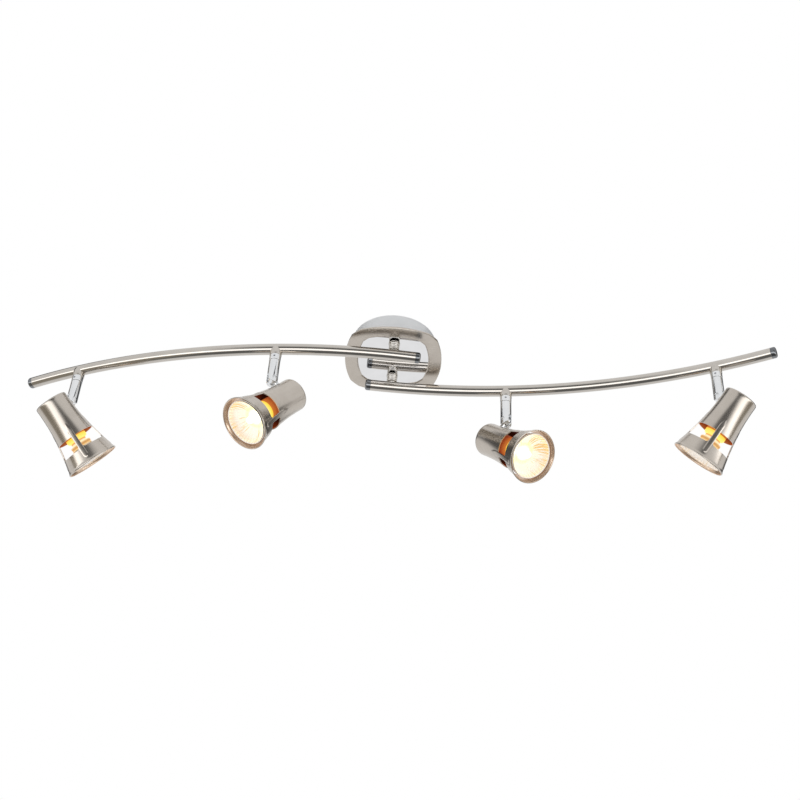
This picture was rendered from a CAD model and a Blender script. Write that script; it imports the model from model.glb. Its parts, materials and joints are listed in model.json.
"""Looks of the four-lamp split-bar ceiling spotlight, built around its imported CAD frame.
Every mesh is made here in mm, in its own part's frame, and placed by the frame's joints and boxes."""
import json
from math import asin, atan2, cos, hypot, pi, radians, sin, sqrt

import bmesh
import bpy
from mathutils import Matrix, Vector

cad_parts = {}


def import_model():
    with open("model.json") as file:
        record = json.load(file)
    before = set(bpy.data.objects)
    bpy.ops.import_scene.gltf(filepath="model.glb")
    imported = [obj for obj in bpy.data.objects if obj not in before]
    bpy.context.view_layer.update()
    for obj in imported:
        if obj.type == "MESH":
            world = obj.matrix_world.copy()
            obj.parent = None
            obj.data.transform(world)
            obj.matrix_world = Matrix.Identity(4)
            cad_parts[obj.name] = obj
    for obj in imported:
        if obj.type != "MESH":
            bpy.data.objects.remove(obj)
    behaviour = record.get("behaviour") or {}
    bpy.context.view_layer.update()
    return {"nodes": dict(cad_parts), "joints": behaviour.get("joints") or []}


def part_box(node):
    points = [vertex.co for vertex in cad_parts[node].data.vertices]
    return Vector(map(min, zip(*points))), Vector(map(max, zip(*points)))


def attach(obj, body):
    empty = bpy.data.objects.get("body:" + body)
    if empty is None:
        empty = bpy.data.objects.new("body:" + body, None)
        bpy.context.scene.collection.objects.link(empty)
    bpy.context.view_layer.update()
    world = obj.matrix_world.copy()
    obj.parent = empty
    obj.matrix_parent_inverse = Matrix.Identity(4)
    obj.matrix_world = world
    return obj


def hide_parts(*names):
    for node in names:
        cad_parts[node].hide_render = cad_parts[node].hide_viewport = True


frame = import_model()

MM = 0.001
JOINTS = {j["name"]: j for j in frame["joints"]}
SIDES = ("left", "right")
LAMPS_ON = {"left": (1, 2), "right": (4, 3)}     # far lamp, near lamp

# ---- Meshes --------------------------------------------------------------------------------------


def stack(rows, closed=True):
    """Quads between rows of points. A row of one point is a pole; closed joins each row's ends."""
    verts, starts, faces = [], [], []
    for row in rows:
        starts.append(len(verts))
        verts += row
    for k in range(len(rows) - 1):
        count = max(len(rows[k]), len(rows[k + 1]))
        for i in range(count if closed else count - 1):
            j = (i + 1) % count
            corners = []
            for start, row, step in ((starts[k], rows[k], i), (starts[k], rows[k], j),
                                     (starts[k + 1], rows[k + 1], j), (starts[k + 1], rows[k + 1], i)):
                corner = start + (step if len(row) > 1 else 0)
                if corner not in corners:
                    corners.append(corner)
            faces.append(corners)
    return verts, faces


def ring(radius, z, steps=96, flutes=0, depth=0.0):
    """One circle of points, or one point on the axis, with optional flutes around it"""
    if radius < 1e-6:
        return [(0.0, 0.0, z)]
    turns = [2 * pi * i / steps for i in range(steps)]
    return [((radius + depth * cos(flutes * t)) * cos(t), (radius + depth * cos(flutes * t)) * sin(t), z)
            for t in turns]


def lathe(profile, steps=96):
    """A turned solid from its profile of (radius, z) points"""
    return stack([ring(point[0], point[1], steps) for point in profile])


def eased(points, steps=4):
    """A profile whose corners are rounded: a point is (r, z) or (r, z, size of its rounding)"""
    out = []
    for i, point in enumerate(points):
        here = Vector(point[:2])
        if len(point) < 3 or i in (0, len(points) - 1):
            out.append(tuple(here))
            continue
        before, after = Vector(points[i - 1][:2]) - here, Vector(points[i + 1][:2]) - here
        reach = min(point[2], 0.49 * before.length, 0.49 * after.length)
        a, b = before.normalized() * reach, after.normalized() * reach
        for k in range(steps + 1):
            t = k / steps
            out.append(tuple(here + a * (1 - t) ** 2 + b * t ** 2))
    return out


def moved(part, matrix):
    """A part with its points moved, in mm"""
    return [tuple(matrix @ Vector(v)) for v in part[0]], part[1]


def shift(x, y, z):
    return Matrix.Translation((x, y, z))


def turn(angle, axis):
    return Matrix.Rotation(radians(angle), 4, axis)


def build(name, parts, places=None, sharp=32):
    """One mesh object from parts in mm. Each part is (verts, faces) or (verts, faces, material
    number); places gives each point's unbent coordinates for the materials."""
    bm = bmesh.new()
    layer = bm.verts.layers.float_vector.new("place")
    for number, part in enumerate(parts):
        verts, faces = part[0], part[1]
        slots = part[2] if len(part) > 2 else 0
        own = places[number] if places else verts
        made = []
        for v, place in zip(verts, own):
            vert = bm.verts.new(Vector(v) * MM)
            vert[layer] = place
            made.append(vert)
        for i, face in enumerate(faces):
            if len(face) > 2:
                new = bm.faces.new([made[k] for k in face])
                new.material_index = slots if isinstance(slots, int) else slots[i]
                new.smooth = True
    bmesh.ops.remove_doubles(bm, verts=bm.verts, dist=2e-7)
    loose = [v for v in bm.verts if not v.link_faces]
    bmesh.ops.delete(bm, geom=loose, context="VERTS")
    bmesh.ops.recalc_face_normals(bm, faces=bm.faces)
    mesh = bpy.data.meshes.new(name)
    bm.to_mesh(mesh)
    bm.free()
    mesh.set_sharp_from_angle(angle=radians(sharp))
    obj = bpy.data.objects.new(name, mesh)
    bpy.context.scene.collection.objects.link(obj)
    return obj


def bake_modifiers(obj):
    """Applies an object's modifiers"""
    graph = bpy.context.evaluated_depsgraph_get()
    mesh = bpy.data.meshes.new_from_object(obj.evaluated_get(graph))
    obj.modifiers.clear()
    old, obj.data = obj.data, mesh
    bpy.data.meshes.remove(old)
    mesh.name = obj.name


def carve(obj, tool, operation="DIFFERENCE"):
    """Cuts a closed part out of obj, or joins it on with UNION"""
    cutter = build("cutter", [tool])
    cut = obj.modifiers.new("cut", "BOOLEAN")
    cut.operation, cut.object, cut.solver = operation, cutter, "EXACT"
    bake_modifiers(obj)
    data = cutter.data
    bpy.data.objects.remove(cutter)
    bpy.data.meshes.remove(data)


def soften(obj, width, angle=40, segments=2):
    """Rounds every sharp edge by a small bevel"""
    bevel = obj.modifiers.new("edges", "BEVEL")
    bevel.width, bevel.segments = width * MM, segments
    bevel.limit_method, bevel.angle_limit = "ANGLE", radians(angle)
    bevel.use_clamp_overlap, bevel.harden_normals = False, True
    bake_modifiers(obj)


def block(low, high):
    """A closed box from corner to corner"""
    x, y, z = zip(low, high)
    verts = [(a, b, c) for a in x for b in y for c in z]
    return verts, [(0, 1, 3, 2), (4, 6, 7, 5), (0, 4, 5, 1), (2, 3, 7, 6), (0, 2, 6, 4), (1, 5, 7, 3)]


def rod(radius, start, end, steps=64):
    """A plain closed cylinder along Z, for cutting"""
    return lathe([(0, start), (radius, start), (radius, end), (0, end)], steps)


def place_piece(obj, at, body, looks, nodes):
    """Puts a piece at a matrix in metres, on its body, standing for its CAD nodes"""
    for look in looks:
        obj.data.materials.append(look)
    obj.data.transform(at)
    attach(obj, body)
    if nodes:
        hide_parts(*nodes)
    return obj


def copy_of(obj, name):
    twin = bpy.data.objects.new(name, obj.data.copy())
    twin.data.name = name
    bpy.context.scene.collection.objects.link(twin)
    return twin


# ---- Materials -----------------------------------------------------------------------------------


def add(tree, kind, settings=None, **inputs):
    """A shader node with its settings and its inputs, which are values or other sockets"""
    made = tree.nodes.new("ShaderNode" + kind)
    for key, value in (settings or {}).items():
        setattr(made, key, value)
    for key, value in inputs.items():
        socket = made.inputs[int(key[1:])] if key[0] == "i" and key[1:].isdigit() else made.inputs[key]
        if isinstance(value, bpy.types.NodeSocket):
            tree.links.new(value, socket)
        else:
            socket.default_value = value
    return made


def noise(tree, place, scale, grain=(1, 1, 1), detail=3.0):
    """A noise in the part's own coordinates, stretched by grain"""
    held = add(tree, "Mapping", Vector=place, Scale=grain)
    return add(tree, "TexNoise", Vector=held.outputs[0], Scale=scale, Detail=detail).outputs[0]


def ramp(tree, factor, stops):
    made = add(tree, "ValToRGB", Fac=factor)
    made.color_ramp.interpolation = "EASE"
    points = made.color_ramp.elements
    while len(points) < len(stops):
        points.new(0.5)
    for point, (at, color) in zip(points, stops):
        point.position = at
        point.color = (*color, 1) if len(color) == 3 else color
    return made.outputs[0]


def span(tree, value, low, high, source=(0.3, 0.7)):
    made = add(tree, "MapRange", Value=value)
    for key, number in (("From Min", source[0]), ("From Max", source[1]), ("To Min", low), ("To Max", high)):
        made.inputs[key].default_value = number
    return made.outputs[0]


def product(tree, *factors):
    out = factors[0]
    for factor in factors[1:]:
        out = add(tree, "Math", {"operation": "MULTIPLY"}, i0=out, i1=factor).outputs[0]
    return out


def surface(name, colors, metallic, rough, grain=(1, 1, 1), scale=1.0, bump=0.02, depth=0.05,
            blotch=0.08, own=True, **sockets):
    """A procedural finish: two close colours in soft blotches, roughness from a fine grain with a
    slower drift, and a bump from the same grain. own is False on CAD nodes, which have no place."""
    look = bpy.data.materials.new(name)
    look.use_nodes = True
    tree = look.node_tree
    bsdf = tree.nodes["Principled BSDF"]
    if own:
        place = add(tree, "Attribute", {"attribute_name": "place"}).outputs["Vector"]
    else:
        held = add(tree, "TexCoord").outputs["Object"]
        place = add(tree, "Mapping", Vector=held, Scale=(1000, 1000, 1000)).outputs[0]
    fine = noise(tree, place, scale, grain)
    slow = noise(tree, place, blotch)
    tree.links.new(ramp(tree, slow, [(0.3, colors[0]), (0.7, colors[1])]), bsdf.inputs["Base Color"])
    drift = add(tree, "Mix", {"data_type": "FLOAT"}, Factor=0.35)
    tree.links.new(fine, drift.inputs[2])
    tree.links.new(slow, drift.inputs[3])
    tree.links.new(span(tree, drift.outputs[0], *rough), bsdf.inputs["Roughness"])
    raised = add(tree, "Bump", Strength=bump, Distance=depth * MM, Height=fine)
    tree.links.new(raised.outputs[0], bsdf.inputs["Normal"])
    bsdf.inputs["Metallic"].default_value = metallic
    for key, value in sockets.items():
        bsdf.inputs[key.replace("_", " ")].default_value = value
    return look


def shaped(look):
    """The node tree, the shader and the coordinates of a finish, to add to it"""
    tree = look.node_tree
    place = next(n for n in tree.nodes if n.bl_idname == "ShaderNodeAttribute").outputs["Vector"]
    return tree, tree.nodes["Principled BSDF"], place


NICKEL = ((0.595, 0.560, 0.515), (0.625, 0.590, 0.545))
NICKEL_WARM = ((0.565, 0.515, 0.460), (0.600, 0.550, 0.495))
CHROME = ((0.83, 0.845, 0.86), (0.87, 0.88, 0.89))

nickel_tube = surface("satin_nickel_tube", NICKEL, 1.0, (0.11, 0.14), (0.02, 1.2, 1.2), 1.2, 0.006)
nickel_spun = surface("satin_nickel_spun", NICKEL, 1.0, (0.11, 0.15), (0.05, 0.05, 1.6), 1.4, 0.03)
nickel_shade = surface("satin_nickel_shade", NICKEL_WARM, 1.0, (0.19, 0.24), (0.05, 0.05, 1.6), 1.4, 0.04)
nickel_flat = surface("satin_nickel_flat", NICKEL_WARM, 1.0, (0.22, 0.28), (0.05, 1.6, 1.6), 1.6, 0.05)
rim_inside = surface("rim_inside", ((0.58, 0.46, 0.36), (0.68, 0.55, 0.44)), 1.0, (0.20, 0.30),
                     (0.05, 0.05, 1.6), 1.4, 0.06,
                     Emission_Color=(0.5, 0.33, 0.22, 1), Emission_Strength=0.30)
copper_inside = surface("shade_inside", ((0.26, 0.11, 0.05), (0.34, 0.15, 0.07)), 1.0, (0.26, 0.38),
                        (0.05, 0.05, 2.2), 1.6, 0.08)
chrome = surface("polished_chrome", CHROME, 1.0, (0.03, 0.07), (1, 1, 1), 0.6, 0.015)
chrome_cap = surface("cap_chrome", ((0.17, 0.18, 0.19), (0.25, 0.26, 0.27)), 1.0, (0.04, 0.09),
                     (1, 1, 1), 0.8, 0.02)
chrome_stem = surface("stem_chrome", ((0.62, 0.60, 0.57), (0.70, 0.68, 0.65)), 1.0, (0.10, 0.17), (1, 1, 0.1),
                      1.0, 0.03)
chrome_arm = surface("chrome_arm", CHROME, 1.0, (0.05, 0.10), (1.4, 1.4, 0.05), 1.2, 0.02)
mirror = surface("mirror_chrome", ((0.86, 0.86, 0.87), (0.89, 0.89, 0.90)), 1.0, (0.015, 0.04),
                 (1, 1, 1), 0.4, 0.01)
enamel = surface("cover_enamel", ((0.80, 0.815, 0.83), (0.84, 0.85, 0.865)), 0.20, (0.32, 0.42),
                 (1, 1, 1), 1.4, 0.12)
zinc = surface("zinc_plate", ((0.52, 0.53, 0.55), (0.66, 0.67, 0.69)), 1.0, (0.28, 0.45), (1, 1, 1),
               0.5, 0.12, blotch=0.25, own=False)
brass = surface("brass", ((0.70, 0.52, 0.24), (0.78, 0.60, 0.30)), 1.0, (0.18, 0.30), (1, 1, 1), 1.2, 0.06)
plastic = surface("terminal_plastic", ((0.80, 0.79, 0.74), (0.85, 0.84, 0.80)), 0.0, (0.42, 0.55),
                  (1, 1, 1), 2.2, 0.15, own=False)
black_steel = surface("black_steel", ((0.38, 0.39, 0.41), (0.48, 0.49, 0.51)), 1.0, (0.22, 0.34),
                      (1, 1, 1), 2.0, 0.08)
steatite = surface("steatite", ((0.80, 0.75, 0.64), (0.86, 0.81, 0.70)), 0.0, (0.55, 0.70), (1, 1, 1),
                   2.5, 0.25, own=False)
lamp_amber = surface("lamp_base_amber", ((0.42, 0.20, 0.06), (0.52, 0.27, 0.09)), 0.0, (0.25, 0.40),
                     (1, 1, 1), 0.8, 0.2)
bowl_glass = surface("bowl_outside", ((0.66, 0.65, 0.64), (0.78, 0.77, 0.75)), 0.55, (0.16, 0.28),
                     (1, 1, 1), 0.8, 0.15)
bowl_inside = surface("bowl_inside", ((0.30, 0.26, 0.18), (0.36, 0.31, 0.22)), 0.4, (0.14, 0.24),
                      (1, 1, 1), 0.8, 0.1)
capsule = surface("halogen_capsule", ((1.0, 0.95, 0.85), (1.0, 0.97, 0.9)), 0.0, (0.08, 0.15), (1, 1, 1),
                  1.0, 0.02)
glass = surface("lamp_front_glass", ((0.97, 0.98, 0.99), (1, 1, 1)), 0.0, (0.02, 0.06), (1, 1, 1),
                0.5, 0.04, Transmission_Weight=1.0, IOR=1.45)


def radius_of(tree, axis):
    flat = add(tree, "CombineXYZ", X=axis[0], Y=axis[1])
    run = add(tree, "VectorMath", {"operation": "LENGTH"})
    tree.links.new(flat.outputs[0], run.inputs[0])
    return run.outputs["Value"]


def glow(look, stops, strength, reach):
    """Emission whose colour and strength run along the lamp's axis, from the first height to the last"""
    tree, bsdf, place = shaped(look)
    axis = add(tree, "SeparateXYZ", Vector=place).outputs
    share = span(tree, axis[2], 0, 1, reach)
    tree.links.new(ramp(tree, share, stops), bsdf.inputs["Emission Color"])
    tree.links.new(span(tree, share, *strength, source=(0, 1)), bsdf.inputs["Emission Strength"])


def rays(look, flutes):
    """The lit bowl: white about the capsule, cream further out, with uneven amber rays between the
    flutes and a bright line round the lip"""
    tree, bsdf, place = shaped(look)
    axis = add(tree, "SeparateXYZ", Vector=place).outputs
    radius = radius_of(tree, axis)
    share = span(tree, radius, 0, 1, (4.0, 25.0))
    cream = ramp(tree, share, [(0.0, (1, 0.98, 0.86)), (0.30, (1, 0.92, 0.42)), (0.48, (1, 0.93, 0.74)),
                               (0.80, (1, 0.91, 0.80)), (0.93, (0.90, 0.70, 0.52)), (0.96, (1, 0.95, 0.88))])
    angle = add(tree, "Math", {"operation": "ARCTAN2"}, i0=axis[1], i1=axis[0]).outputs[0]
    wave = add(tree, "Math", {"operation": "COSINE"}, i0=product(tree, angle, float(flutes))).outputs[0]
    round_it = add(tree, "CombineXYZ", X=add(tree, "Math", {"operation": "COSINE"}, i0=angle).outputs[0],
                   Y=add(tree, "Math", {"operation": "SINE"}, i0=angle).outputs[0],
                   Z=product(tree, share, 0.25))
    sector = noise(tree, round_it.outputs[0], 1.7, detail=1.0)
    fleck = noise(tree, round_it.outputs[0], 9.0, detail=2.0)
    rise = add(tree, "Math", {"operation": "MULTIPLY_ADD"}, i0=wave, i1=0.10,
               i2=product(tree, fleck, 0.9)).outputs[0]
    both = add(tree, "Math", {"operation": "ADD"}, i0=rise, i1=product(tree, sector, 0.8)).outputs[0]
    strong = product(tree, span(tree, both, 0, 0.9, (0.93, 1.08)), span(tree, share, 0, 1, (0.22, 0.55)),
                     span(tree, share, 1, 0, (0.93, 0.96)))
    mixed = add(tree, "Mix", {"data_type": "RGBA"}, Factor=strong)
    tree.links.new(cream, mixed.inputs[6])
    mixed.inputs[7].default_value = (0.78, 0.44, 0.07, 1)
    tree.links.new(mixed.outputs[2], bsdf.inputs["Emission Color"])
    level = ramp(tree, share, [(0.0, (1, 1, 1)), (0.30, (0.66, 0.66, 0.66)), (0.55, (0.50, 0.50, 0.50)),
                               (1.0, (0.42, 0.42, 0.42))])
    tree.links.new(product(tree, level, 1.9), bsdf.inputs["Emission Strength"])


rays(bowl_inside, 40)
glow(lamp_amber, [(0.0, (0.20, 0.03, 0.01)), (0.40, (0.45, 0.12, 0.02)), (0.44, (1, 0.72, 0.07)),
                  (0.60, (1, 0.84, 0.18)), (0.65, (0.50, 0.25, 0.07)), (0.74, (1, 0.88, 0.60)),
                  (0.86, (0.50, 0.27, 0.08)), (1.0, (0.95, 0.72, 0.35))], (1.0, 0.9), (38.0, 64.0))
glow(capsule, [(0, (1, 0.96, 0.86)), (1, (1, 0.93, 0.75))], (3.2, 2.6), (60.0, 76.0))
glow(copper_inside, [(0.0, (0.02, 0.004, 0.002)), (0.60, (0.10, 0.015, 0.004)), (1.0, (0.26, 0.06, 0.012))],
     (0.6, 0.9), (30.0, 50.0))

# ---- Places --------------------------------------------------------------------------------------

BEND_R = 800.0


def joint_at(name):
    return Vector(JOINTS[name]["pos_m"])


def run_to(side, lamp):
    """Distance along a tube from its stem to a lamp, in mm"""
    chord = (joint_at(f"arm_{lamp}_turn") - joint_at(f"bar_{side}_swing")).length / MM
    return 2 * BEND_R * asin(chord / 2 / BEND_R)


def bar_frame(side):
    """Origin on the stem's axis at the tube's height, the long side towards -X"""
    stem, far = joint_at(f"bar_{side}_swing"), joint_at(f"arm_{LAMPS_ON[side][0]}_turn")
    chord = far - stem
    half = asin(chord.length / MM / 2 / BEND_R)
    return Matrix.Translation(stem) @ Matrix.Rotation(atan2(chord.y, chord.x) + half - pi, 4, "Z")


def along(run):
    """Frame in mm at a distance along the arc, with X along the tube"""
    angle = run / BEND_R
    return shift(-BEND_R * sin(angle), BEND_R * (1 - cos(angle)), 0) @ Matrix.Rotation(-angle, 4, "Z")


def arm_frame(n):
    """Origin on the tube's axis above the arm, the lamp aims towards -X"""
    axis = JOINTS[f"head_{n}_tilt"]["axis"]
    return Matrix.Translation(joint_at(f"arm_{n}_turn")) @ Matrix.Rotation(atan2(axis[0], -axis[1]), 4, "Z")


def middle(node):
    low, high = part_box(node)
    return (low + high) / 2


def head_frames(n):
    """The head's frame at its pin, and the shade's: origin at the back, Z to the rim, X to the pin"""
    line = (middle(f"head_{n}_lamp_glass") - middle(f"head_{n}_back_cap")).normalized()
    pin = joint_at(f"head_{n}_tilt")
    yaw = arm_frame(n).to_3x3().to_4x4()
    head = Matrix.Translation(pin) @ yaw @ Matrix.Rotation(-asin(-line.z), 4, "Y")
    shade = head @ Matrix.Translation((KNUCKLE_AT * MM, 0, -KNUCKLE_REACH * MM)) @ turn(-90, "Y")
    return head, shade


# ---- Ceiling plate -------------------------------------------------------------------------------

COVER_R, COVER_H, COVER_WALL = 48.0, 24.0, 1.2
PLATE_T, RING_T = 1.2, 2.4
BAR_DROP, BAR_R, BAR_WALL = 42.0, 6.35, 1.0
STEM_OFFSET = 27.5
HOME = Matrix.Identity(4)


def bowed(half, corner, round_r, angle):
    """Distance from the centre to a bowed square's outline in one direction"""
    sagitta = half - corner
    side_r = (corner ** 2 + sagitta ** 2) / (2 * sagitta)
    centre = side_r - half
    reach = round_r
    for k in range(4):
        lean = cos(angle - k * pi / 2)
        reach = min(reach, -centre * lean + sqrt((centre * lean) ** 2 + side_r ** 2 - centre ** 2))
    return reach


def outline(grow, z, inner=False, steps=288):
    """One loop of the trim ring's outer outline, or of its opening, grown by a few mm"""
    size = (40 + grow, 33 + grow, 45 + grow) if inner else (55 + grow, 45 + grow, 61.2 + grow)
    turns = [2 * pi * i / steps for i in range(steps)]
    return [(bowed(*size, t) * cos(t), bowed(*size, t) * sin(t), z) for t in turns]


def softened(loops, edge):
    """Loops as (grow, z, inner), with an extra pair of points near each corner to round it"""
    out = []
    count = len(loops)
    for i, here in enumerate(loops):
        for other in (loops[i - 1], loops[(i + 1) % count]):
            if here[2] == other[2]:
                run = hypot(other[0] - here[0], other[1] - here[1])
                share = min(0.4, edge / run)
                out.append((here[0] + (other[0] - here[0]) * share, here[1] + (other[1] - here[1]) * share,
                            here[2]))
            else:
                sign = 1 if here[2] else -1
                out.append((here[0] + sign * edge, here[1], here[2]))
    return out


def ceiling_plate():
    top = -COVER_H + COVER_WALL
    drum = eased([(0, -COVER_H), (COVER_R, -COVER_H, 1.6), (COVER_R, 0, 0.3), (COVER_R - COVER_WALL, 0, 0.3),
                  (COVER_R - COVER_WALL, top, 1.0), (0, top)])
    obj = build("cover_drum", [lathe(drum, 192)])
    for y in (-STEM_OFFSET, STEM_OFFSET):
        carve(obj, moved(rod(5.1, -COVER_H - 1, top + 1), shift(0, y, 0)))
    place_piece(obj, HOME, "ceiling_plate", [enamel], ["ceiling_cover"])

    low = -COVER_H - RING_T
    rebate, shelf = 3.1, -COVER_H - PLATE_T
    section = [(0, low, False), (0, -COVER_H, False), (rebate, -COVER_H, True), (rebate, shelf, True),
               (0, shelf, True), (0, low + 1.0, True), (0.9, low, True)]
    loops = [outline(g, z, inner) for g, z, inner in softened(section, 0.35)]
    obj = build("trim_frame", [stack(loops + [loops[0]])])
    place_piece(obj, HOME, "ceiling_plate", [nickel_flat], ["trim_ring"])

    face = -COVER_H - PLATE_T
    rows = [[(0, 0, face)]] + [
        [(x * k, y * k, face) for x, y, _ in outline(2.6, face, True)] for k in (0.3, 0.7, 1)]
    rows += [outline(2.95, face + 0.3, True), outline(2.95, -COVER_H, True), [(0, 0, -COVER_H)]]
    obj = build("mirror_disc", [stack(rows)])
    for y in (-STEM_OFFSET, STEM_OFFSET):
        carve(obj, moved(rod(5.1, face - 1, -COVER_H + 1), shift(0, y, 0)))
    place_piece(obj, HOME, "ceiling_plate", [mirror], ["mirror_plate"])


def stems():
    """Both stems: thread, flange, ribbed barrel, spigot and the head that keeps the tube on"""
    face, seat = -COVER_H - PLATE_T, -BAR_DROP + BAR_R + 0.35
    profile = [(2, -14, 0.2), (4.6, -14, 0.2)]
    pitch, threads = 1.0, 10
    for i in range(threads):
        z = -14.4 - i * pitch
        profile += [(5, z - 0.25, 0.2), (4.6, z - 0.75, 0.2)]
    profile += [(5, -24.9), (5, face), (6.6, face, 0.3), (6.6, face - 1, 0.35), (5.6, face - 1)]
    ribs = 4
    step = (face - 1 - seat) / ribs
    for i in range(ribs):
        for k in range(1, 9):
            swell = sin(pi * k / 8)
            profile.append((5.5 + 0.55 * swell ** 0.7, face - 1 - (i + k / 8) * step))
    profile += [(4, seat, 0.2), (4, -BAR_DROP + 2, 0.2), (4.6, -BAR_DROP + 2, 0.3),
                (4.6, -BAR_DROP - 1, 0.5), (2, -BAR_DROP - 1, 0.2), (2, -14)]
    one = lathe(eased(profile, 3), 72)
    obj = build("stem_pair", [moved(one, shift(0, y, 0)) for y in (-STEM_OFFSET, STEM_OFFSET)],
                [one[0], one[0]], 50)
    place_piece(obj, HOME, "ceiling_plate", [chrome_stem], ["stems"])

    hexes = []
    for y in (-STEM_OFFSET, STEM_OFFSET):
        rows = []
        for reach, z in ((5.0, 0), (7.4, 0), (8.08, 0.4), (8.08, 2.6), (7.4, 3), (5.0, 3)):
            row = []
            for i in range(72):
                t = 2 * pi * i / 72
                flat = 7.0 / cos((t + pi / 6) % (pi / 3) - pi / 6)
                r = min(reach, flat) if reach > 5 else reach
                row.append((r * cos(t), r * sin(t), z - COVER_H + COVER_WALL))
            rows.append(row)
        hexes.append(moved(stack(rows + [rows[0]]), shift(0, y, 0)))
    obj = build("stem_nuts", hexes, sharp=25)
    place_piece(obj, HOME, "ceiling_plate", [brass], ["stem_locknuts"])


def screws():
    """The two cover screws, with knurled heads, and the bracket's earth screw"""
    low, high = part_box("cover_screws")
    line = atan2(low.y, high.x)
    head = eased([(0, 4.6), (2.4, 4.6, 0.5), (2.8, 4.2, 0.2)])
    rows = [ring(r, z, 120) for r, z in head]
    rows += [ring(3.15, 3.9, 120, 30, 0.12), ring(3.25, 3.5, 120, 30, 0.15), ring(3.25, 0.9, 120, 30, 0.15),
             ring(3.1, 0.4, 120, 30, 0.1), ring(2.6, 0.0, 120), ring(1.5, 0.0, 120), ring(1.5, -8.7, 120),
             ring(1.2, -9.0, 120), [(0, 0, -9.0)]]
    one = stack(rows)
    turns = [Matrix.Rotation(line + side, 4, "Z") @ shift(COVER_R, 0, -12) @ turn(90, "Y")
             for side in (0, pi)]
    obj = build("cover_screw_pair", [moved(one, m) for m in turns], [one[0], one[0]], 40)
    place_piece(obj, HOME, "ceiling_plate", [chrome], ["cover_screws"])

    low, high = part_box("earth_screw")
    thread = [(1.5 if i % 2 else 1.32, -6.5 + 0.25 * i) for i in range(16)]
    profile = eased([(0, -7), (1.2, -7, 0.2), (1.5, -6.7, 0.1)]) + thread
    profile += eased([(1.5, -2.4), (2.7, -2.4, 0.2), (3, -2.1, 0.15), (3, 0), (1.5, 0), (1.5, 1.5), (0, 1.5)])
    obj = build("earth_screw_turned", [lathe(profile, 64)])
    centre = (low + high) / 2
    place_piece(obj, Matrix.Translation((centre.x, centre.y, -1.5 * MM)), "ceiling_plate", [brass],
                ["earth_screw"])


# ---- Bars ----------------------------------------------------------------------------------------

BAR_INNER, BAR_OUTER, CAP_LEN = 30.4, 436.0, 6.0
SADDLE_R, SADDLE_END, JOINT_LINE = 6.75, 11.0, 18.5
COLLAR_R = SADDLE_R - 0.3
GRUB_R, GRUB_SEAT = 1.2, 4.4
ROUND = 72


def bar_rows(runs, radius):
    """Rings of points along the tube's arc, and their unbent places"""
    rows, places = [], []
    for run in runs:
        at = along(run)
        row = [(0, radius * cos(2 * pi * i / ROUND), radius * sin(2 * pi * i / ROUND)) for i in range(ROUND)]
        rows.append([tuple(at @ Vector(p)) for p in row])
        places.append([(-run, p[1], p[2]) for p in row])
    return rows, places


def bar_tube(side):
    start, end = CAP_LEN - BAR_INNER, BAR_OUTER - CAP_LEN
    steps = 120
    runs = [start + (end - start) * i / steps for i in range(steps + 1)]
    lip = 0.15
    outer = [start, start + lip] + runs[1:-1] + [end - lip, end]
    rows, places = [], []
    for k, run in enumerate(outer):
        edge = lip if k in (0, len(outer) - 1) else 0
        r, p = bar_rows([run], BAR_R - edge)
        rows += r
        places += p
    r, p = bar_rows(list(reversed(runs)), BAR_R - BAR_WALL)
    rows, places = rows + r + [rows[0]], places + p + [places[0]]
    part = stack(rows)
    flat = [point for row in places for point in row]
    obj = build(f"bar_{side}_sleeve", [part], [flat])
    carve(obj, rod(4.05, 0, BAR_R + 1))
    return obj


def end_cap():
    """A turned cap: plug, shoulder, shallow groove and a domed end"""
    profile = eased([(0, -3), (5.2, -3, 0.3), (5.3, 0), (BAR_R - 0.2, 0.0, 0.1), (BAR_R, 0.2, 0.1),
                     (BAR_R, CAP_LEN - 1.6, 1.2), (BAR_R - 1.4, CAP_LEN - 0.25, 1.0), (2.5, CAP_LEN, 1.0),
                     (0, CAP_LEN)], 6)
    return moved(lathe(profile, ROUND), turn(-90, "Y"))


def saddle():
    """A round stub coped to the underside of the tube, with a fine solder fillet along the cope"""
    coped = BAR_R + 0.02

    def on_tube(radius, t):
        y = radius * sin(t)
        return -sqrt(coped ** 2 - y * y) if abs(y) < coped else 0.0
    steps, low = 144, -SADDLE_END + 0.4
    turns = [2 * pi * i / steps for i in range(steps)]
    rows = [[(0, 0, -SADDLE_END)], ring(SADDLE_R - 0.5, -SADDLE_END, steps),
            ring(SADDLE_R - 0.15, -SADDLE_END + 0.1, steps), ring(SADDLE_R, -SADDLE_END + 0.35, steps)]
    for share in (0.33, 0.66, 1.0):
        rows.append([(SADDLE_R * cos(t), SADDLE_R * sin(t),
                      low + share * (min(-0.5, on_tube(SADDLE_R, t)) - 0.12 - low)) for t in turns])
    for radius in (SADDLE_R - 0.12, SADDLE_R - 0.4, 5.2, 4.0, 2.0):
        rows.append([(radius * cos(t), radius * sin(t), min(-0.5, on_tube(radius, t))) for t in turns])
    rows.append([(0, 0, -coped)])
    return stack(rows)


def collar(side):
    """The swivel's fixed ring with its grub-screw hole, and the nipple and head that hold the arm"""
    high, low, r = -SADDLE_END, -JOINT_LINE, COLLAR_R
    obj = build("collar", [lathe(eased([
        (1.5, high), (r - 0.3, high, 0.1), (r, high - 0.3, 0.1), (r, low + 0.25, 0.15), (r - 0.25, low, 0.1),
        (4, low), (4, low - 6), (4.9, low - 6, 0.2), (4.9, low - 8, 0.4), (1.5, low - 8, 0.2),
        (1.5, high)]), 96)])
    carve(obj, moved(rod(GRUB_R + 0.05, 0, 5, 48), at_grub(side)))
    return obj


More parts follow.
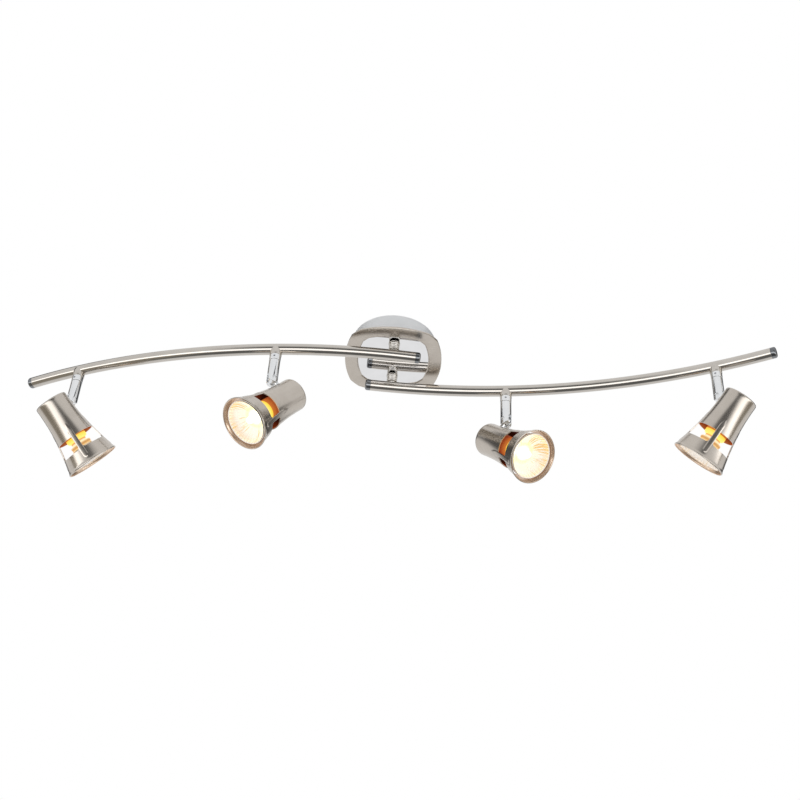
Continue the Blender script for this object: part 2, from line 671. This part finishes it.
def at_grub(side):
    """A grub screw's seat inside the collar, Z outwards"""
    sign = 1 if side == "left" else -1
    middle_z = -(SADDLE_END + JOINT_LINE) / 2
    return shift(0, 0, middle_z) @ turn(90 * sign, "X") @ shift(0, 0, GRUB_SEAT)


def grub(side):
    """A socket grub screw: threaded shank, bevelled face and six-sided recess"""
    face = COLLAR_R + 0.1 - GRUB_SEAT
    rows = [ring(0, 0.0), ring(0.9, 0.0, 48)]
    for k in range(4):
        z = 0.15 + 0.4 * k
        rows += [ring(GRUB_R, z, 48), ring(GRUB_R - 0.12, z + 0.2, 48)]
    rows += [ring(GRUB_R, face - 0.2, 48), ring(GRUB_R - 0.12, face, 48)]
    for reach, z in ((0.72, face), (0.66, face - 0.06), (0.66, face - 0.8)):
        row = []
        for i in range(48):
            t = 2 * pi * i / 48
            r = reach * cos(pi / 6) / cos((t + pi / 6) % (pi / 3) - pi / 6)
            row.append((r * cos(t), r * sin(t), z))
        rows.append(row)
    rows.append([(0, 0, face - 0.8)])
    return moved(stack(rows), at_grub(side))


def on_spots(name, source, spots):
    """Copies of one mesh object, as a single object, at both lamp places of a tube"""
    verts = [tuple(v.co / MM) for v in source.data.vertices]
    part = (verts, [tuple(p.vertices) for p in source.data.polygons])
    data = source.data
    bpy.data.objects.remove(source)
    bpy.data.meshes.remove(data)
    return build(name, [moved(part, m) for m in spots], [verts] * len(spots))


def bar(side):
    at = bar_frame(side)
    body = f"bar_{side}"
    spots = [along(run_to(side, n)) for n in LAMPS_ON[side]]
    place_piece(bar_tube(side), at, body, [nickel_tube], [f"{body}_tube"])
    cap = end_cap()
    parts = [moved(cap, along(BAR_OUTER - CAP_LEN)), moved(cap, along(CAP_LEN - BAR_INNER) @ turn(180, "Z"))]
    place_piece(build(f"{body}_caps", parts, [cap[0]] * 2), at, body, [chrome_cap],
                [f"{body}_end_caps"])
    place_piece(on_spots(f"{body}_collar_pair", collar(side), spots), at, body, [chrome],
                [f"{body}_collars"])
    for name, one, slot, look, sharp in (("saddles", saddle(), "satin_nickel", nickel_spun, 50),
                                         ("grub_screws", grub(side), "black_screw", black_steel, 32)):
        obj = build(f"{body}_{name[:-1]}_pair", [moved(one, m) for m in spots], [one[0]] * 2, sharp)
        place_piece(obj, at, body, [look], [f"{body}_{name}"])


# ---- Arms ----------------------------------------------------------------------------------------

ARM_LEN, ARM_R = 44.5, 6.3
FORK_SLOT, FORK_DEPTH, PIN_R = 4.6, 6.0, 2.0


def arm_mesh():
    """The arm's tube with its swivel bore, and a rounded fork cut by a slot with a round top"""
    top = -JOINT_LINE - 0.35
    low, head = -ARM_LEN - ARM_R, -JOINT_LINE - 8.3
    steps = 96
    side = eased([(4.05, top), (ARM_R - 0.25, top, 0.1), (ARM_R, top - 0.25, 0.15), (ARM_R, -ARM_LEN + 2)])
    rows = [ring(r, z, steps) for r, z in side]
    for share in (1.0, 0.97, 0.9, 0.75, 0.5, 0.25):
        rows.append([(x, y, -ARM_LEN - sqrt(max(0.0, ARM_R ** 2 - x * x)))
                     for x, y, _ in ring(ARM_R * share, 0, steps)])
    rows += [[(0, 0, low)], [(0, 0, head)], ring(5.2, head, steps), ring(5.2, head + 2.6, steps),
             ring(4.05, head + 2.6, steps), rows[0]]
    obj = build("arm", [stack(rows)])
    half = FORK_SLOT / 2
    centre = -ARM_LEN + FORK_DEPTH - half
    crown = [(half * cos(pi * i / 24), centre + half * sin(pi * i / 24)) for i in range(25)]
    side = crown + [(-half, low - 2), (half, low - 2)]
    verts = [(x, y, z) for x in (-9, 9) for y, z in side]
    n = len(side)
    faces = [list(range(n)), list(range(n, 2 * n))]
    faces += [[i, (i + 1) % n, n + (i + 1) % n, n + i] for i in range(n)]
    carve(obj, (verts, faces))
    carve(obj, moved(rod(PIN_R + 0.02, -9, 9), shift(0, 0, -ARM_LEN) @ turn(90, "X")))
    soften(obj, 0.22, 35)
    return obj


def pin_mesh():
    """The fork's cross pin: a domed, slotted screw head one side and a riveted end the other"""
    half = ARM_R - 0.5
    profile = eased([(0, -half - 0.35), (1.3, -half - 0.2, 0.5), (PIN_R, -half + 0.15, 0.3),
                     (PIN_R, half - 0.15, 0.3), (1.3, half + 0.2, 0.5), (0, half + 0.35)], 5)
    obj = build("pin", [lathe(profile, 48)])
    carve(obj, block((-2.4, -0.3, half - 0.35), (2.4, 0.3, half + 1)))
    soften(obj, 0.06)
    return obj


# ---- Spotlights ----------------------------------------------------------------------------------

KNUCKLE_AT, KNUCKLE_REACH = 10.0, 27.0
NUT_R, NUT_T = 4.2, 2.4
SHADE_LEN, BACK_R, SHADE_T = 83.0, 18.6, 1.0
FLARE_FROM = 8.0
FLARE_BEND = (SHADE_LEN - FLARE_FROM) / sin(radians(17))
WINDOW = (49.0, 66.0)
STRUT_TURN = pi / 4
STRUT_W = 5.6
LAMP_R, LAMP_FRONT = 25.0, 81.0


def shade_r(z):
    """Radius of the shade's outside at a distance from its back"""
    return BACK_R + FLARE_BEND * (1 - cos(asin(max(0.0, z - FLARE_FROM) / FLARE_BEND)))


def smooth(t):
    t = min(1.0, max(0.0, t))
    return t * t * (3 - 2 * t)


def rib(offset, z):
    """Height of the pressed rib that carries each strut: a crease that widens, runs on and ends round"""
    start, full, fade, end = 33.0, 41.0, 74.0, 77.0
    if z < full:
        half = STRUT_W / 2 * max(0.0, (z - start) / (full - start))
    elif z < fade:
        half = STRUT_W / 2
    else:
        half = STRUT_W / 2 * sqrt(max(0.0, 1 - ((z - fade) / (end - fade)) ** 2))
    return 0.32 * smooth((half - abs(offset)) / 1.3 + 0.25) if half > 0.01 else 0.0


def shade_mesh():
    """The shade as one folded sheet: closed sleeve, four windows between pressed ribs, rolled rim"""
    zs = [0, 0.12, 0.4, 0.8, 1.3, 1.9, 4, 8, 12, 16, 20, 24, 27, 30, 32, 33, 34.5, 36, 37.5, 39, 41, 43, 45,
          47, 49, 51, 53, 55, 57, 59, 61, 66, 68, 70, 72, 74, 75, 76, 76.6, 77, 77.6, 79, 80.5, 81.4,
          82, 82.5, 82.85, 83]
    near, far = zs.index(WINDOW[0]), zs.index(WINDOW[1])
    strut = [-1, -0.85, -0.68, -0.5, -0.25, 0, 0.25, 0.5, 0.68, 0.85]
    half_gap = [0, 0.006, 0.02, 0.042, 0.072, 0.11, 0.18, 0.26, 0.34, 0.42]
    gap = half_gap + [0.5] + [1 - f for f in reversed(half_gap[1:])]
    columns = []
    for q in range(4):
        columns += [(q, True, f) for f in strut] + [(q, False, f) for f in gap]
    corner_r = 3.6
    outer, inner = [], []
    for i, z in enumerate(zs):
        row_out, row_in = [], []
        for q, on_strut, f in columns:
            here = z
            radius = shade_r(z)
            half = asin(STRUT_W / 2 / radius)
            t = STRUT_TURN + q * pi / 2 + (f * half if on_strut else half + f * (pi / 2 - 2 * half))
            offset = f * STRUT_W / 2
            if not on_strut:
                offset = STRUT_W / 2 + min(f, 1 - f) * (pi / 2 - 2 * half) * radius
            if i == far:
                gap_in = (abs(f) - 1) * STRUT_W / 2 if on_strut else offset - STRUT_W / 2
                if gap_in >= 0:
                    cut = max(0.0, corner_r - gap_in)
                    here = z - corner_r + sqrt(corner_r ** 2 - cut ** 2)
                else:
                    here = z - corner_r * max(0.0, 1 + gap_in / 1.4) ** 2
            radius = shade_r(here) + rib(offset, here)
            back = 1.9
            if here < back:
                radius -= back - sqrt(back ** 2 - (back - here) ** 2)
            lip = smooth((here - 80.6) / 0.8) * 0.35
            edge = max(0.0, here - 82.2)
            radius += lip - (0.8 - sqrt(max(0.0, 0.64 - edge ** 2)))
            wall = SHADE_T if here >= back else SHADE_T * (0.2 + 0.8 * here / back)
            if here > 82.2:
                wall = max(0.25, (SHADE_T + lip) - 2 * (0.8 - sqrt(max(0.0, 0.64 - edge ** 2))))
            row_out.append((radius * cos(t), radius * sin(t), here))
            thick = radius - wall
            row_in.append((thick * cos(t), thick * sin(t), here))
        outer.append(row_out)
        inner.append(row_in)
    count = len(columns)
    verts = [p for row in outer for p in row] + [p for row in inner for p in row]
    under = len(zs) * count

    def solid(i, j):
        if not 0 <= i < len(zs) - 1:
            return False
        return columns[j % count][1] or not near <= i < far

    faces, slots = [], []
    for i in range(len(zs) - 1):
        for j in range(count):
            k = (j + 1) % count
            a, b, c, d = i * count + j, i * count + k, (i + 1) * count + k, (i + 1) * count + j
            if not solid(i, j):
                continue
            faces.append((a, b, c, d))
            faces.append((a + under, d + under, c + under, b + under))
            slots += [0, 1 if i < near else 2]
            sides = ((i, j - 1), (a, d)), ((i, k), (b, c)), ((i - 1, j), (a, b)), ((i + 1, j), (d, c))
            for there, edge in sides:
                if not solid(there[0], there[1] % count):
                    faces.append((edge[0], edge[1], edge[1] + under, edge[0] + under))
                    slots.append(0)
    return build("shade", [(verts, faces, slots)], sharp=40)


def cap_mesh():
    """The closed back: a shallow dished disc with a turned step at its edge"""
    return build("back", [lathe(eased([(0, 0.55), (12, 0.45, 2.0), (15.6, 0.12, 0.5), (17.0, 0.02, 0.25),
                                       (17.35, 0.4, 0.2), (17.5, 1.2, 0.1), (0, 1.2)]), 128)])


def base_mesh():
    """The lamp's ceramic base with a stepped shoulder, and its two pins"""
    body = lathe(eased([(0, 31), (11.2, 31, 0.6), (11.2, 33, 0.4), (12, 34, 0.5), (12, 52.4, 1.4),
                        (10.6, 54, 0.8), (0, 54)]), 96)
    pin = lathe(eased([(0, 24), (0.9, 24, 0.4), (1.1, 24.6, 0.3), (1.1, 31), (0, 31)]), 32)
    return build("base", [body] + [moved(pin, shift(0, y, 0)) for y in (-5, 5)])


def reflector_mesh():
    """The lamp's glass: neck, flange and a bowl fluted inside and out"""
    steps, flutes, glass_z, neck_end = 480, 40, LAMP_FRONT - 2, 64.0
    neck = eased([(0, 54.05), (8.6, 54.05, 0.3), (9, 54.5, 0.3), (9, 57.6, 0.5), (9.6, 58, 0.4),
                  (12, 58.1, 0.5), (12.1, 60.2, 0.3), (11.4, 61, 0.4), (11.9, 62, 0.4), (12.1, 63.2, 0.5)])
    bowl, inside = [], []
    turns = 14
    for i in range(turns + 1):
        t = pi / 2 * i / turns
        z = glass_z - (glass_z - neck_end) * cos(t)
        swell = sin(pi * min(1, i / turns * 1.15)) * 0.22
        bowl.append((12 + (LAMP_R - 12) * sin(t), z, swell))
        last = i == turns
        inside.append((6.5 + (LAMP_R - 1.3 - 6.5) * sin(t), z + (0 if last else 0.6),
                       0 if last else 0.35 * sin(t) ** 0.5))
    rows, slots = [], []
    for r, z in neck:
        rows.append(ring(r, z, steps))
        slots.append(0)
    for r, z, d in bowl:
        rows.append(ring(r, z, steps, flutes, d))
        slots.append(1)
    for r, z, d in reversed(inside):
        rows.append(ring(r, z, steps, flutes, -d))
        slots.append(2)
    rows.append([(0, 0, neck_end + 0.4)])
    verts, faces = stack(rows)
    numbers = []
    for k in range(len(rows) - 1):
        numbers += [slots[min(k + 1, len(slots) - 1)] if k < len(slots) else 2] * steps
    return build("reflector", [(verts, faces, numbers)], sharp=45)


def capsule_mesh():
    """The halogen capsule: a bulb with a drawn tip on a pinched seal"""
    return build("capsule", [lathe(eased([(0, 64.1), (2.6, 64.1, 0.3), (2.6, 66, 0.6), (3.9, 67.6, 1.2),
                                          (4, 72, 1.0), (3.4, 74.6, 1.5), (1.2, 75.9, 0.6), (0.5, 76.0, 0.2),
                                          (0, 76)]), 64)])


def glass_mesh():
    """The front glass: a thin disc, faintly domed, with a ground edge"""
    return build("glass", [lathe(eased([(0, 79.35), (20, 79.2, 2.0), (LAMP_R - 0.8, 79.05, 0.2),
                                        (LAMP_R - 0.2, 79.3, 0.2), (LAMP_R - 0.2, 80.4, 0.4),
                                        (LAMP_R - 1.2, 80.75, 0.4), (18, 80.95, 2.0), (0, 81)]), 128)])


def knuckle_mesh():
    """Tongue in the fork, its neck through the sleeve and the nut inside"""
    sleeve = KNUCKLE_REACH - BACK_R
    nut_top = KNUCKLE_REACH - sqrt((BACK_R - SHADE_T) ** 2 - NUT_R ** 2) + 0.04
    half = (FORK_SLOT - 0.6) / 2
    tongue = moved(lathe([(0, -half), (5.2, -half), (5.2, half), (0, half)], 96), turn(90, "X"))
    obj = build("knuckle", [tongue])
    neck = eased([(0, -nut_top - NUT_T), (NUT_R, -nut_top - NUT_T), (NUT_R, -nut_top), (2.7, -nut_top),
                  (2.7, -3.4), (0, -3.4)])
    carve(obj, lathe(neck, 64), "UNION")
    wall = 3.0
    for low in (half - 0.02, -half - wall + 0.02):
        carve(obj, block((-6, low, -sleeve + 0.6), (6, low + wall, 6)))
    carve(obj, moved(rod(PIN_R + 0.05, -9, 9, 48), turn(90, "X")))
    soften(obj, 0.18, 35)
    return obj


def spotlights():
    arm, pin = arm_mesh(), pin_mesh()
    meshes = {
        "knuckle": (knuckle_mesh(), "mirror_chrome", [chrome]),
        "shade": (shade_mesh(), "satin_nickel", [nickel_shade, copper_inside, rim_inside]),
        "back_cap": (cap_mesh(), "satin_nickel", [nickel_shade]),
        "lamp_base": (base_mesh(), "lamp_ceramic", [lamp_amber]),
        "lamp_reflector": (reflector_mesh(), "reflector_glass", [lamp_amber, bowl_glass, bowl_inside]),
        "lamp_capsule": (capsule_mesh(), "capsule_glow", [capsule]),
        "lamp_glass": (glass_mesh(), "front_glass", [glass]),
    }
    for n in range(1, 5):
        head, shade = head_frames(n)
        place_piece(copy_of(arm, f"arm_{n}_fork"), arm_frame(n), f"arm_{n}", [chrome_arm],
                    [f"arm_{n}_tube"])
        across = arm_frame(n) @ shift(0, 0, -ARM_LEN * MM) @ turn(90, "X")
        place_piece(copy_of(pin, f"arm_{n}_screw"), across, f"arm_{n}", [chrome],
                    [f"arm_{n}_pin"])
        for name, (mesh, slot, looks) in meshes.items():
            at = head if name == "knuckle" else shade
            place_piece(copy_of(mesh, f"head_{n}_{name}_piece"), at, f"head_{n}", looks,
                        [f"head_{n}_{name}"])
    for obj in [arm, pin] + [m[0] for m in meshes.values()]:
        data = obj.data
        bpy.data.objects.remove(obj)
        bpy.data.meshes.remove(data)


def kept_nodes():
    """The CAD nodes that stay: the bracket, the terminal block and the lampholders"""
    looks = {"mounting_bracket": zinc, "terminal_block": plastic}
    looks.update({f"head_{n}_lampholder": steatite for n in range(1, 5)})
    for name, look in looks.items():
        mesh = frame["nodes"][name].data
        mesh.materials.clear()
        mesh.materials.append(look)


ceiling_plate()
stems()
screws()
for which in SIDES:
    bar(which)
spotlights()
kept_nodes()

# ---- Studio --------------------------------------------------------------------------------------


def world():
    """Soft room light: pale all round, a dark floor and a bright strip below the horizon, and two dark
    panels high behind the fixture. Angles run about X from the horizon on the camera's side, up
    positive. Light from the ends has its own bands. The camera sees plain white behind the fixture."""
    made = bpy.data.worlds.new("studio")
    bpy.context.scene.world = made
    made.use_nodes = True
    tree = made.node_tree
    back = tree.nodes["Background"]
    axis = add(tree, "SeparateXYZ", Vector=add(tree, "TexCoord").outputs["Generated"]).outputs
    toward = add(tree, "Math", {"operation": "MULTIPLY"}, i0=axis[1], i1=-1.0).outputs[0]
    angle = add(tree, "Math", {"operation": "ARCTAN2"}, i0=axis[2], i1=toward).outputs[0]
    share = span(tree, angle, 0, 1, (-pi, pi))
    aside = add(tree, "Math", {"operation": "ABSOLUTE"}, i0=axis[0]).outputs[0]
    middle_bands = [(-180, 0.86), (-120, 0.84), (-104, 0.16), (-68, 0.14), (-56, 0.30), (-47, 2.0),
                    (-27, 2.0), (-20, 0.60), (-14, 0.14), (6, 0.16), (20, 0.66), (34, 0.86), (180, 0.86)]
    side_bands = [(-180, 0.86), (-130, 0.84), (-108, 0.34), (-66, 0.31), (-54, 0.48), (-43, 2.3), (-30, 2.3),
                  (-20, 0.82), (180, 0.86)]
    straight = ramp(tree, share, [((a + 180) / 360, (v, v, v)) for a, v in middle_bands])
    warm = [((a + 180) / 360, (v, v * (0.92 if v < 0.5 else 1), v * (0.78 if v < 0.5 else 1)))
            for a, v in side_bands]
    sideways = ramp(tree, share, warm)
    light = add(tree, "Mix", {"data_type": "RGBA"}, Factor=span(tree, aside, 0, 1, (0.32, 0.46)))
    tree.links.new(straight, light.inputs[6])
    tree.links.new(sideways, light.inputs[7])
    panels = product(tree, span(tree, aside, 0, 1, (0.30, 0.42)), span(tree, toward, 1, 0, (-0.10, 0.02)),
                     span(tree, axis[2], 0, 1, (0.25, 0.35)))
    shade = span(tree, panels, 1.0, 0.10, (0, 1))
    light = add(tree, "VectorMath", {"operation": "SCALE"}, i0=light.outputs[2], Scale=shade)
    sky = add(tree, "LightPath").outputs["Is Camera Ray"]
    pick = add(tree, "Mix", {"data_type": "RGBA"}, Factor=sky)
    tree.links.new(light.outputs[0], pick.inputs[6])
    pick.inputs[7].default_value = (1, 1, 1, 1)
    tree.links.new(pick.outputs[2], back.inputs["Color"])


FLOOR_Z, FLOOR_HALF = -2.4, 6.0


def studio():
    world()
    half = FLOOR_HALF
    mesh = bpy.data.meshes.new("floor")
    mesh.from_pydata([(-half, -half, FLOOR_Z), (half, -half, FLOOR_Z), (half, half, FLOOR_Z),
                      (-half, half, FLOOR_Z)], [], [(0, 1, 2, 3)])
    floor = bpy.data.objects.new("floor", mesh)
    bpy.context.scene.collection.objects.link(floor)
    look = surface("pale_floor", ((0.80, 0.80, 0.79), (0.83, 0.83, 0.82)), 0.0, (0.6, 0.75), (1, 1, 1), 0.02,
                   0.05, own=False)
    mesh.materials.append(look)
    floor.visible_glossy = False


CAMERA_DIP, CAMERA_REACH, CAMERA_ROLL = 41.219, 1.5696, 3.455     # degrees, metres, degrees
AIM_ACROSS, AIM_BELOW_BARS = 0.01107, 0.04226                   # metres
SENSOR, LENS = 36.0, 62.29                                      # mm
HALF_PIXEL = 0.0006


def camera():
    """The viewing angle: from below and in front, looking up at the plate's under side"""
    dip, reach = radians(CAMERA_DIP), CAMERA_REACH
    middle_z = -BAR_DROP * MM
    spot = Vector((0, -cos(dip), -sin(dip))) * reach + Vector((0, 0, middle_z))
    target = Vector((AIM_ACROSS, 0, middle_z - AIM_BELOW_BARS))
    data = bpy.data.cameras.new("camera")
    data.sensor_width, data.lens = SENSOR, LENS
    data.clip_start, data.clip_end = 0.05, 50
    data.shift_x, data.shift_y = -HALF_PIXEL, HALF_PIXEL
    obj = bpy.data.objects.new("camera", data)
    bpy.context.scene.collection.objects.link(obj)
    facing = (target - spot).to_track_quat("-Z", "Y").to_matrix().to_4x4()
    obj.matrix_world = Matrix.Translation(spot) @ facing @ Matrix.Rotation(radians(CAMERA_ROLL), 4, "Z")
    bpy.context.scene.camera = obj


studio()
camera()
bpy.context.scene.view_settings.view_transform = "Standard"
